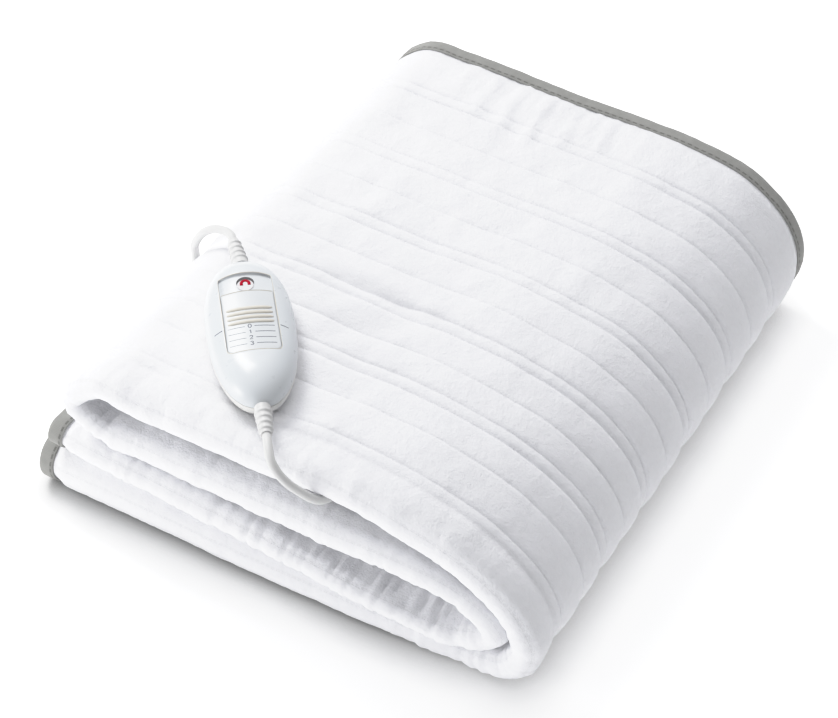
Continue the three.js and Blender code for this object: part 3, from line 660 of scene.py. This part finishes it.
# The fleece's finish: tufts and fibres in relief, cloudy whites, and the dashes of the row of stitches
stitch_pitch, row_half = 0.0037, 0.0005
fleece, pile_of = finish_of("white fleece", 0.95, 0.2, sheen=0.1)
cloth_place = pile_of.node("ShaderNodeUVMap", {"uv_map": "cloth"})
row = abs(abs(cloth_place.axis(1)) - edge_stitching[0] / 1000) < row_half
stitch = cloth_place.axis(0).dashes(stitch_pitch) * row
clumps = pile_of.noise(0.0034, 3, 0.55)
clean = (clumps * 0.6 + pile_of.noise(0.045) * 0.4).blended((0.815, 0.817, 0.842), (0.91, 0.912, 0.932))
tufts, fibres = pile_of.noise(0.013), pile_of.noise(0.0013, 2, 0.6)
relief = tufts * 0.55 + clumps * 0.2 + fibres * 0.2 - row * 0.05 - stitch * 0.06
# The stitch dashes darken the fleece's colour a little: painted shade of the stitch holes
give(fleece, (stitch * 0.09).blended(clean, (0.50, 0.50, 0.52)), None, relief, 0.0019)
cloth_faces = [cloth_quads, np.vstack([cloth_tris, *end_walls])]
cloth = piece("blanket_cloth", round_points[taken], cloth_faces, fleece, "fleece", uv=cloth_uv)
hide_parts("blanket")

# The binding
# A grey woven tape, 10 mm wide on each face, folded over the raw edges of both plies and sewn through along
# its inner edges. It runs in one loop round the whole cloth, so it shows along the back and in two lobes at
# the left.
tape, gap, nose_round = 1, 0.3, 1.6
tape_level = bound_ply / 2 + gap
half_turn = np.radians(np.linspace(90, -90, 7))
leg = np.array([-9.8, -9.2, -7.5, -5, -2.5])
leg_off = tape_level + np.array([.5, tape, tape + .1, tape + .1, tape])
tape_outside = np.concatenate([leg, gap + tape + nose_round * (np.cos(half_turn) - 1), leg[::-1]])
tape_outside_off = np.concatenate([leg_off, (tape_level + tape) * np.sin(half_turn), -leg_off[::-1]])
tape_inside = np.array([-9.8, -5, gap, gap, -5, -9.8])
tape_inside_off = np.array([-1, -1, -.8, .8, 1, 1]) * (bound_ply / 2 + gap * .7)
tape_past = np.concatenate([tape_outside, tape_inside])
tape_off = np.concatenate([tape_outside_off, tape_inside_off])
outward = np.repeat([1.0, 0], [len(tape_outside), len(tape_inside)])


def past_end(end):
    """Stations beyond one end of the cloth, carried straight on to each point of the tape's section."""
    end_row, inner_row = ((0, 1), (-1, -2))[end]
    made = Line(np.full(len(tape_past), cloth_line.rows[end_row]))
    for name in ("near", "back"):
        ends = getattr(cloth_line, name)
        away = ends[end_row] - ends[inner_row]
        setattr(made, name, ends[end_row] + away / np.linalg.norm(away) * tape_past[:, None])
    return made


def long_edge(side):
    """Rounds of the tape along one of the two long edges, from the pile's inner end to the floor's."""
    steps = np.arange(2, len(marks) - 2, 2)
    line = Line(cloth_line.rows[steps])
    along = marks[steps, None]
    wave = 0.22 * bumpy(along / 4.5, side + 2, 21) + 0.15 * bumpy(along / 11, side + 2, 22)
    clear_of_floor = np.where((line.near[:, 1] < floor_line + .5) & (side > 0), 0, 1)[:, None]
    off = tape_off[None] + np.sign(tape_off) * wave * clear_of_floor * outward
    return folded(line, half_width + tape_past[None], side, off)


def short_edge(end):
    """Rounds of the tape along one bound end, from one long edge round the near fold to the other."""
    ply_columns = columns_of_ply(np.concatenate([[32, 44], np.arange(52, 386, 8)]))
    turn_share, flat, sides = both_plies(ply_columns, ply_columns)
    line = past_end(end)
    across = line.quarter[0] * turn_share + flat
    wave = 0.2 * bumpy(across * sides / 4.5, end + .5, 23) * (1 - end)
    off = tape_off[:, None] + (np.sign(tape_off) * outward)[:, None] * wave
    return folded(line, np.broadcast_to(across, (len(tape_past), len(across))), sides, off).transpose(1, 0, 2)


def mitre(end, side):
    """The tape's corner, where its round points both past the end and past the long edge."""
    return folded(past_end(end), half_width + tape_past[:, None], side, tape_off[:, None])[:, 0][None]


tape_rounds = np.concatenate([
    long_edge(1), mitre(1, 1), short_edge(1), mitre(1, -1),
    long_edge(-1)[::-1], mitre(0, -1), short_edge(0)[::-1], mitre(0, 1)])
along_tape = walked(tape_rounds[:, len(leg)])[:, None]
tape_uv = np.stack(np.broadcast_arrays(along_tape, tape_past), -1).reshape(-1, 2) / 1000

# The tape's finish: a fine weave, and the dashes of the seam sunk along its inner edge
grey, weave_of = finish_of("grey binding tape", 0.75, 0.3, sheen=0.15)
tape_place = weave_of.node("ShaderNodeUVMap", {"uv_map": "cloth"})
run, from_edge = tape_place.axis(0), tape_place.axis(1)
sewn_dash, sewn_row = run.dashes(0.0052), abs(from_edge + 0.0081) < 0.0007
ribbed = run.math("SINE", run * 6800) * 0.5 + run.math("SINE", from_edge * 7400) * 0.5
woven = (weave_of.noise(0.006, 3) * 0.7 + ribbed * 0.2 + 0.1).blended((0.28, 0.28, 0.265), (0.45, 0.45, 0.43))
tape_relief = ribbed * 0.35 + weave_of.noise(0.0015) * 0.3 + sewn_row * sewn_dash * 0.8 - sewn_row * 0.8
sewn = (sewn_row * (0.15 + sewn_dash * 0.5)).blended(woven, (0.12, 0.12, 0.11))
give(grey, sewn, None, tape_relief, 0.0004)
tape_faces = ring_faces(len(tape_rounds), len(tape_past), closed=True)
binding = piece("binding_tape", tape_rounds, [tape_faces], grey, "binding_tape", uv=tape_uv)
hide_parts("binding")

# The hand controller
# Two glossy moulded half shells, cool white above and a little warmer below, with a fine seam between them.
# The top has a sunk track for the setting slide, and a pit with a red mark at the track's far end.
shell_turn = np.radians(39.2)
shell_place = np.array([96.7, 67.5, 121.5])
shell = {"length": 125, "width": 54, "height": 24, "seam": 9.6, "egg": .07, "square": 2.3}
top_inset, base_inset = (13, 25), (6, 8)
track = {"y": 6.5, "width": 32.4, "length": 68.6, "deep": 1.6, "corner": 4, "bow": 0.9}


def turned_by(points, angle):
    """Points turned about the upright axis."""
    x, y, z = np.moveaxis(np.asarray(points, float), -1, 0)
    return np.stack([x * np.cos(angle) - y * np.sin(angle), x * np.sin(angle) + y * np.cos(angle), z], -1)


def on_controller(name, form, material, slot, **more):
    """A piece made of points and faces in the controller's own frame, long axis along Y, laid on the pile."""
    return piece(name, turned_by(form[0], shell_turn) + shell_place, form[1], material, slot, **more)


def bent(value, power):
    """A sine or cosine to a power, with its sign kept: below 1 it squares a circle up."""
    return np.sign(value) * np.abs(value) ** power


def egg_width(y):
    """The shell's width at y as a share of its width in the middle: a little more at the mains end."""
    return 1 + shell["egg"] * 2 * y / shell["length"]


def outline(angle, share, inset):
    """The rounded oblong outline, drawn in on both axes by a share of the inset."""
    power = 2 / shell["square"]
    y = (shell["length"] / 2 - inset[1] * share) * bent(np.sin(angle), power)
    return (shell["width"] / 2 - inset[0] * share) * bent(np.cos(angle), power) * egg_width(y), y


def fall(x):
    """How far the top has fallen at x from its middle line: 2.1 mm at 16 mm, with the square of x."""
    return 2.1 * (x / 16) ** 2


def crown(x, y):
    """Height of the top shell over a place, from the share of the inset whose outline passes there: that is
    found by halving."""
    low, high = np.zeros_like(x), np.ones_like(x)
    for _ in range(30):
        share = (low + high) / 2
        inside = (np.abs(x / (shell["width"] / 2 - top_inset[0] * share) / egg_width(y)) ** shell["square"]
                  + np.abs(y / (shell["length"] / 2 - top_inset[1] * share)) ** shell["square"]) < 1
        low, high = np.where(inside, share, low), np.where(inside, high, share)
    dome = 1 - (1 - low) ** 2
    return shell["seam"] + (shell["height"] + 0.5 - shell["seam"]) * np.sqrt(dome) - fall(x) * dome


def bow_in(x, y, half, end):
    """How far an edge at end is drawn in towards its corners, half away. It fades out over 8 mm behind it."""
    return eased((y - end + 8) / 8) * track["bow"] * (x / half) ** 2


def track_edge(angle, grown=0.0):
    """The track's outline seen from its middle at each angle: rounded at the blanket end, square at the
    other."""
    x, y, r = track["width"] / 2 + grown, track["length"] / 2 + grown, track["corner"] + grown
    corner = np.radians(np.linspace(-90, 0, 9))
    right_side = np.concatenate([[0, x - r], x - r + r * np.cos(corner), [x, x - .6, 0]])
    up = np.concatenate([[-y, -y], -y + r + r * np.sin(corner), [y - .6, y, y]])
    xs, ys = np.concatenate([right_side, -right_side[-2:0:-1]]), np.concatenate([up, up[-2:0:-1]])
    share = np.linspace(0, 1, 24, endpoint=False)[:, None]
    xs, ys = ((np.roll(v, -1) * share + v * (1 - share)).T.ravel() for v in (xs, ys))
    seen = np.unwrap(np.arctan2(ys, xs))
    order = np.argsort(seen)
    at = np.mod(angle - seen[order][0], 2 * np.pi) + seen[order][0]
    edge_x, edge_y = (np.interp(at, seen[order], v[order]) for v in (xs, ys))
    return edge_x, edge_y + track["y"] - bow_in(edge_x, edge_y, x, y)


def ring_at(x, y, z):
    """One ring of points at a height, or with a height for each."""
    return np.stack([x, y, np.broadcast_to(z, x.shape)], 1)


spokes = np.linspace(0, 2 * np.pi, 160, endpoint=False)
dense_x, dense_y = outline(np.linspace(0, 2 * np.pi, 4000, endpoint=False), 0, top_inset)
seen_from_track = np.unwrap(np.arctan2(dense_y - track["y"], dense_x))
wrapped = np.mod(spokes - seen_from_track[0], 2 * np.pi) + seen_from_track[0]
outer_x, outer_y = (np.interp(wrapped, seen_from_track, edge) for edge in (dense_x, dense_y))
inner_x, inner_y = track_edge(spokes)
rim_x, rim_y = track_edge(spokes, 0.35)
wall_top, seam_level = crown(inner_x, inner_y), shell["seam"] + 0.15
loops = []
for shrink in (0.15, 0.4, 0.6, 0.8, 0.9, 0.97):
    x, y = inner_x * shrink, (inner_y - track["y"]) * shrink + track["y"]
    loops.append(ring_at(x, y, crown(x, y) - track["deep"]))
loops.append(ring_at(inner_x, inner_y, wall_top - track["deep"] + 0.15))
loops.append(ring_at(inner_x, inner_y, wall_top - 0.35))
loops.append(ring_at((inner_x + rim_x) / 2, (inner_y + rim_y) / 2, crown(rim_x, rim_y) - 0.1))
for spread in 1 - (1 - np.linspace(0, 1, 34)) ** 2:
    x, y = rim_x + (outer_x - rim_x) * spread, rim_y + (outer_y - rim_y) * spread
    loops.append(ring_at(x, y, np.maximum(crown(x, y), seam_level) if spread < 1 else seam_level + 0.2))
loops.append(ring_at(outer_x * .992, outer_y * .996, seam_level))
loops.append(ring_at(outer_x * .5, outer_y * .5, seam_level))
cool, cool_tint = finish_of("cool white gloss", 0.3, 0.45, coat=0.2)
# Painted shade: the shell's colour darkens in the track's recess and wherever nearby parts close it in
sunk = cool_tint.node("ShaderNodeAmbientOcclusion", {"samples": 12}, {"Distance": 0.003}, "AO")
drifting = cool_tint.noise(0.02).blended((0.68, 0.712, 0.735), (0.725, 0.752, 0.772))
give(cool, sunk.blended((0.65, 0.672, 0.69), drifting), cool_tint.noise(0.006, 3) * 0.1 + 0.24,
     cool_tint.noise(0.0009), 0.00001)
shell_top = on_controller("controller_upper_shell", capped(np.array(loops)), cool, "shell")
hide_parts("controller_top")

warm = plain_finish("warm white gloss", 0.3, 0.5, (0.02, 2), (0.76, 0.757, 0.73), (0.80, 0.795, 0.77),
                    gloss=(0.006, 3, 0.1, 0.25), grain=(0.0009, 0.00001), coat=0.2)
base_loops = []
for lean in np.radians(np.linspace(90, 0, 14)):
    x, y = outline(spokes, 1 - np.cos(lean), base_inset)
    base_loops.append(ring_at(x, y, (shell["seam"] - .15) * (1 - np.sin(lean))))
base_loops.append(base_loops[-1] * (.985, .993, 1) + (0, 0, .12))
shell_base = on_controller("controller_lower_shell", capped(np.array(base_loops)), warm, "shell")
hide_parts("controller_base")

# The setting slide
# A white slide with a gently crowned face, four beige grip ribs across it and a printed scale below them.
# It moves towards the mains end to bring each number to the shell's marks. Its joint with the shell shows
# as a beige line.
travel, slide_gap = 15, 0.3
slide_long = track["length"] - travel - 2 * slide_gap
slide_y = track["y"] - track["length"] / 2 + slide_gap + slide_long / 2
slide_wide, slide_corner = track["width"] - 2 * slide_gap, track["corner"] - slide_gap
slide_end = slide_y + slide_long / 2


def slide_face(x, _):
    """Height of the slide's face: crowned like the shell across the track, level along it."""
    return shell["height"] - 0.2 - fall(x)


def slide_bow(x, y):
    """The slide's far edge is drawn in like the track's, so that it meets the track's bowed end."""
    return bow_in(x, y, track["width"] / 2, slide_end)


def rounded(width, length, corner, middle):
    """A rectangle with its two lower corners rounded, as points along its outline."""
    arc = np.radians(np.linspace(-90, 0, 9))
    x, y = width / 2, length / 2
    corner_x, corner_y = x - corner + corner * np.cos(arc), -y + corner + corner * np.sin(arc)
    side = np.linspace(-y + corner, y, 24)[1:]
    top = np.linspace(x, -x, 22)[1:-1]
    bottom = np.linspace(-x + corner, x - corner, 18)[1:-1]
    xs = [corner_x, np.full(23, x), top, np.full(23, -x), -corner_x[::-1], bottom]
    ys = [corner_y, side, np.full(20, y), side[::-1], corner_y[::-1], np.full(16, -y)]
    return np.stack([np.concatenate(xs), np.concatenate(ys) + middle], 1)


slide_rim = rounded(slide_wide, slide_long, slide_corner, slide_y)
slide_section = (  # share of the rim and depth below the face, over the edge to the hollow underside
    (.02, 0), (.25, 0), (.5, 0), (.75, 0), (.9, 0), (.965, 0), (.985, .08), (.997, .3), (1, .6), (1, .75),
    (.96, .75), (.95, .3), (.5, .3))
slide_loops = []
for shrink, down in slide_section:
    x, y = ((slide_rim - (0, slide_y)) * shrink + (0, slide_y)).T
    y = y - slide_bow(x, y)
    slide_loops.append(ring_at(x, y, slide_face(x, y) - down))
satin = plain_finish("satin white plastic", 0.32, 0.5, (0.01, 2), (0.645, 0.672, 0.69), (0.685, 0.708, 0.724),
                     gloss=(0.004, 3, 0.12, 0.26), grain=(0.0007, 0.00001), coat=0.15)
slide_form = capped(np.array(slide_loops))
setting_slide = on_controller("setting_slide", slide_form, satin, "slide_plastic", body="slider")
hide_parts("slide")

# The grip ribs, low half rounds that run out at both ends
rib_pitch, rib_half, rib_tall, first_rib = 4.0, 1.35, 0.85, slide_end - 16.4
cream = plain_finish("beige grip", 0.5, 0.4, (0.003, 2), (0.66, 0.63, 0.56), (0.74, 0.715, 0.65),
                     grain=(0.0006, 0.00002))
rib_x = np.linspace(-13.8, 13.8, 41)[:, None]
rib_ends = np.sqrt(np.clip(1 - (np.abs(rib_x) / 14.2) ** 8, 0.02, 1))
rib_round = np.radians(np.linspace(0, 180, 9))
rib_y = rib_ends * np.concatenate([[rib_half], rib_half * np.cos(rib_round), [-rib_half]])
rib_z = slide_face(rib_x, 0) + rib_ends * np.concatenate([[-.3], rib_tall * np.sin(rib_round), [-.3]])
for count in range(4):
    rib = np.stack(np.broadcast_arrays(rib_x, first_rib - rib_pitch * count + rib_y, rib_z), -1)
    on_controller(f"grip_rib_{count + 1}", capped(rib), cream, "slide_plastic", body="slider")

# The joint round the track shows as a thin beige line
joint_loop = np.stack(track_edge(spokes, 0.22), 1)
joint_round = np.radians(np.arange(0, 360, 45))
outward_way = joint_loop - (0, track["y"])
outward_way /= np.linalg.norm(outward_way, axis=1)[:, None]
joint_z = crown(*track_edge(spokes, 0.35)) - 0.08
joint_rings = np.concatenate([joint_loop[:, None] + outward_way[:, None] * .34 * np.cos(joint_round)[:, None],
                              (joint_z[:, None] + .26 * np.sin(joint_round))[..., None]], -1)
joint_faces = [ring_faces(len(joint_rings), len(joint_round), closed=True)]
on_controller("track_line", (joint_rings, joint_faces), cream, "slide_plastic")

# Printed scale on the slide's face and the two marks on the shell that it is read against: thin grey ink
ink = plain_finish("grey ink", 0.6, 0.3, (0.001, 2), (0.10, 0.11, 0.14), (0.20, 0.21, 0.25))


def stroke(points, wide, height_of):
    """A flat ribbon of ink along points, raised a hair above the face whose height is given."""
    side = left_of(np.gradient(points, axis=0)) * wide / 2
    corners = np.stack([points + side, points - side], 1)
    z = height_of(corners[..., 0], corners[..., 1])
    low, high = (np.concatenate([corners, (z + d)[..., None]], -1) for d in (-.02, .03))
    return capped(np.stack([high[:, 0], high[:, 1], low[:, 1], low[:, 0]], 1))


def level_line(x0, x1, y, rise=0.0):
    """Nine points from x0 to x1, climbing by rise on both sides of y."""
    return np.linspace((x0, y - rise), (x1, y + rise), 9)


arc = np.radians(np.linspace(0, 360, 25))
digits = [
    np.stack([.95 * np.sin(arc), 1.5 * np.cos(arc)], 1),
    np.array([[-.55, .9], [.15, 1.5], [.15, -1.5]]),
    np.array([[-.9, .85], [-.6, 1.35], [0, 1.55], [.65, 1.3], [.85, .75], [.5, 0], [-.9, -1.5], [.95, -1.5]]),
    np.array([[-.85, 1.1], [-.35, 1.5], [.4, 1.45], [.8, .9], [.45, .2], [-.15, .08], [.5, -.05], [.9, -.75],
              [.45, -1.4], [-.35, -1.5], [-.95, -1.05]]),
]
scale_top, scale_pitch = slide_end - 32.2, 5
for value, digit in enumerate(digits):
    y = scale_top - scale_pitch * value
    for where, points, width in (
            ("number", digit + (-1.1, y), 0.5),
            ("left", level_line(-14.2, -4, y - .2), 0.34),
            ("right", level_line(1.8, 13.6, y - .2), 0.46)):
        on_controller(f"print_{value}_{where}", stroke(points, width, slide_face), ink, "mark",
                      body="slider", smooth=False)
groove = plain_finish("slide edge groove", 0.6, 0.3, (0.003, 2), (0.47, 0.45, 0.41), (0.54, 0.52, 0.47))
edge_x = np.linspace(-15.4, 15.4, 21)
edge_y = slide_end - .75 - slide_bow(edge_x, slide_end)
edge_line = stroke(np.stack([edge_x, edge_y], 1), 0.8, slide_face)
on_controller("slide_edge_line", edge_line, groove, "slide_plastic", body="slider", smooth=False)
for name, x0, x1, rise in (("left", -22.2, -17.4, .3), ("right", 17.2, 21.8, -.3)):
    on_controller(f"shell_mark_{name}", stroke(level_line(x0, x1, scale_top, rise), 0.6, crown), ink, "mark",
                  smooth=False)

# The window and its mark
# A dark round window lies in the pit at the track's far end, under a pale field and a raised red arch.
pit_y = track["y"] + track["length"] / 2 - 8
window_floor = crown(np.zeros(1), np.full(1, pit_y))[0] - track["deep"]
full_round = np.linspace(0, 2 * np.pi, 48, endpoint=False)
# The window is dark in itself, and its near-black crescent at the pit's top is partly painted shade of the
# pit
dark = plain_finish("dark window", 0.25, 0.5, (0.002, 2), (0.02, 0.018, 0.02), (0.05, 0.04, 0.045), coat=0.3)
red = plain_finish("red mark", 0.5, 0.06, (0.002, 2), (0.42, 0.002, 0.02), (0.5, 0.004, 0.03))
pale = plain_finish("pale rim", 0.4, 0.4, (0.002, 2), (0.70, 0.69, 0.70), (0.77, 0.765, 0.775))


def button(radius, middle, low, high):
    """A low round disc with a softened edge, its heights counted from the pit's floor."""
    levels = ((radius - .4, low), (radius, low), (radius, high - .12), (radius - .12, high),
              (radius - .5, high), (1, high))
    return capped(np.array([ring_at(r * np.cos(full_round), r * np.sin(full_round) + middle, window_floor + z)
                            for r, z in levels]))


def arch(radius, legs, wide, low, high):
    """An arch on two short legs, carried along its middle line as a flat bar with softened edges."""
    swept = np.radians(np.linspace(0, 180, 25))
    bow = np.stack([radius * np.cos(swept), radius * np.sin(swept)], 1)
    line = np.vstack([[radius, -legs], [radius, -legs / 2], bow, [-radius, -legs / 2], [-radius, -legs]])
    line += (0, pit_y - .6)
    side = left_of(np.gradient(line, axis=0)) * wide / 2
    levels = ((1, low), (1, high - .12), (.8, high), (-.8, high), (-1, high - .12), (-1, low))
    return capped(np.stack([ring_at(*(line + side * s).T, window_floor + z) for s, z in levels], 1))


pit = on_controller("window_disc", button(5.4, pit_y, -.1, .12), dark, "pit")
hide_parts("indicator_disc")
mark = on_controller("red_arch", arch(2.35, 1.7, 1.9, .22, .48), red, "mark")
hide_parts("indicator_mark")
on_controller("pale_field", button(5, pit_y - 2.2, .14, .22), pale, "mark")

# The strain reliefs
# Moulded PVC sleeves on both ends of the controller, tapering to the lead, each with four soft ribs.
sleeve_root, sleeve_tip, rib_swell, sleeve_level = 5, 3.4, 0.8, 10
share = np.linspace(0, 1, 90)
swollen = sum(np.exp(-((share - middle) / .05) ** 4) for middle in (.24, .44, .64, .84))
sleeve_width = sleeve_root + (sleeve_tip - sleeve_root) * share + rib_swell * swollen
sleeve_width = np.concatenate([[sleeve_width[0] - .5], sleeve_width, [sleeve_width[-1] - .35]])[:, None]
for name, end, length, lean, node in (
        ("relief_at_mains_end", 1, 25, 6, "relief_mains"),
        ("relief_at_blanket_end", -1, 22, 0, "relief_blanket")):
    run_of = np.concatenate([[0], share, [1]])[:, None] * length
    rings = np.stack(np.broadcast_arrays(
        sleeve_width * np.cos(full_round), run_of, sleeve_level + sleeve_width * np.sin(full_round)), -1)
    rings = turned_by(rings, np.radians(lean if end > 0 else lean + 180))
    rings = rings + (0, end * (shell["length"] / 2 + .3), 0)
    sleeve = on_controller(name, capped(rings), pvc, "lead_pvc")
    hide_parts(node)

# The coil's tie, and the flat two-pin plug
# A strip of soft plastic holds the coil. The plug is a moulded flat body on the lead's end with two plated
# pins.
strip = plain_finish("tie plastic", 0.55, 0.4, (0.004, 2), (0.60, 0.59, 0.55), (0.68, 0.67, 0.63),
                     grain=(0.001, 0.00005))
plated = plain_finish("nickel plate", 0.28, 0.5, (0.003, 2), (0.62, 0.63, 0.64), (0.74, 0.75, 0.76),
                      gloss=(0.002, 3, 0.15, 0.2), metallic=1.0)
for node, finish in (("coil_tie", strip), ("plug_pin_1", plated), ("plug_pin_2", plated)):
    part = frame["nodes"][node]
    part = bpy.data.objects[part] if isinstance(part, str) else part
    part.data.materials.clear()
    part.data.materials.append(finish)

plug_turn, plug_place, plug_square = np.radians(51), (124.7, 434.8, 7), .55
plug_half = np.array([  # along the plug, half its width, half its height
    (0, 4.2, 4.2), (.6, 5, 5), (3, 5.4, 5.3), (4, 4.9, 4.9), (5, 5.4, 5.3), (8, 5.5, 5.5), (12, 6.6, 6),
    (16, 9.6, 6.4), (20, 13.6, 6.7), (24, 16.2, 6.8), (28, 17, 6.8), (33, 17, 6.8), (35.2, 16.7, 6.6),
    (36, 15.8, 5.8),
])
plug_profile = spline(plug_half, np.linspace(0, len(plug_half) - 1, 60))
along, wide, high = (column[:, None] for column in plug_profile.T)
plug_round = np.linspace(0, 2 * np.pi, 64, endpoint=False)
plug_points, plug_faces = capped(np.stack(np.broadcast_arrays(
    along, wide * bent(np.cos(plug_round), plug_square), high * bent(np.sin(plug_round), plug_square)), -1))
plug = piece("plug", turned_by(plug_points, plug_turn) + plug_place, plug_faces, pvc, "lead_pvc")
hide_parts("plug_body")
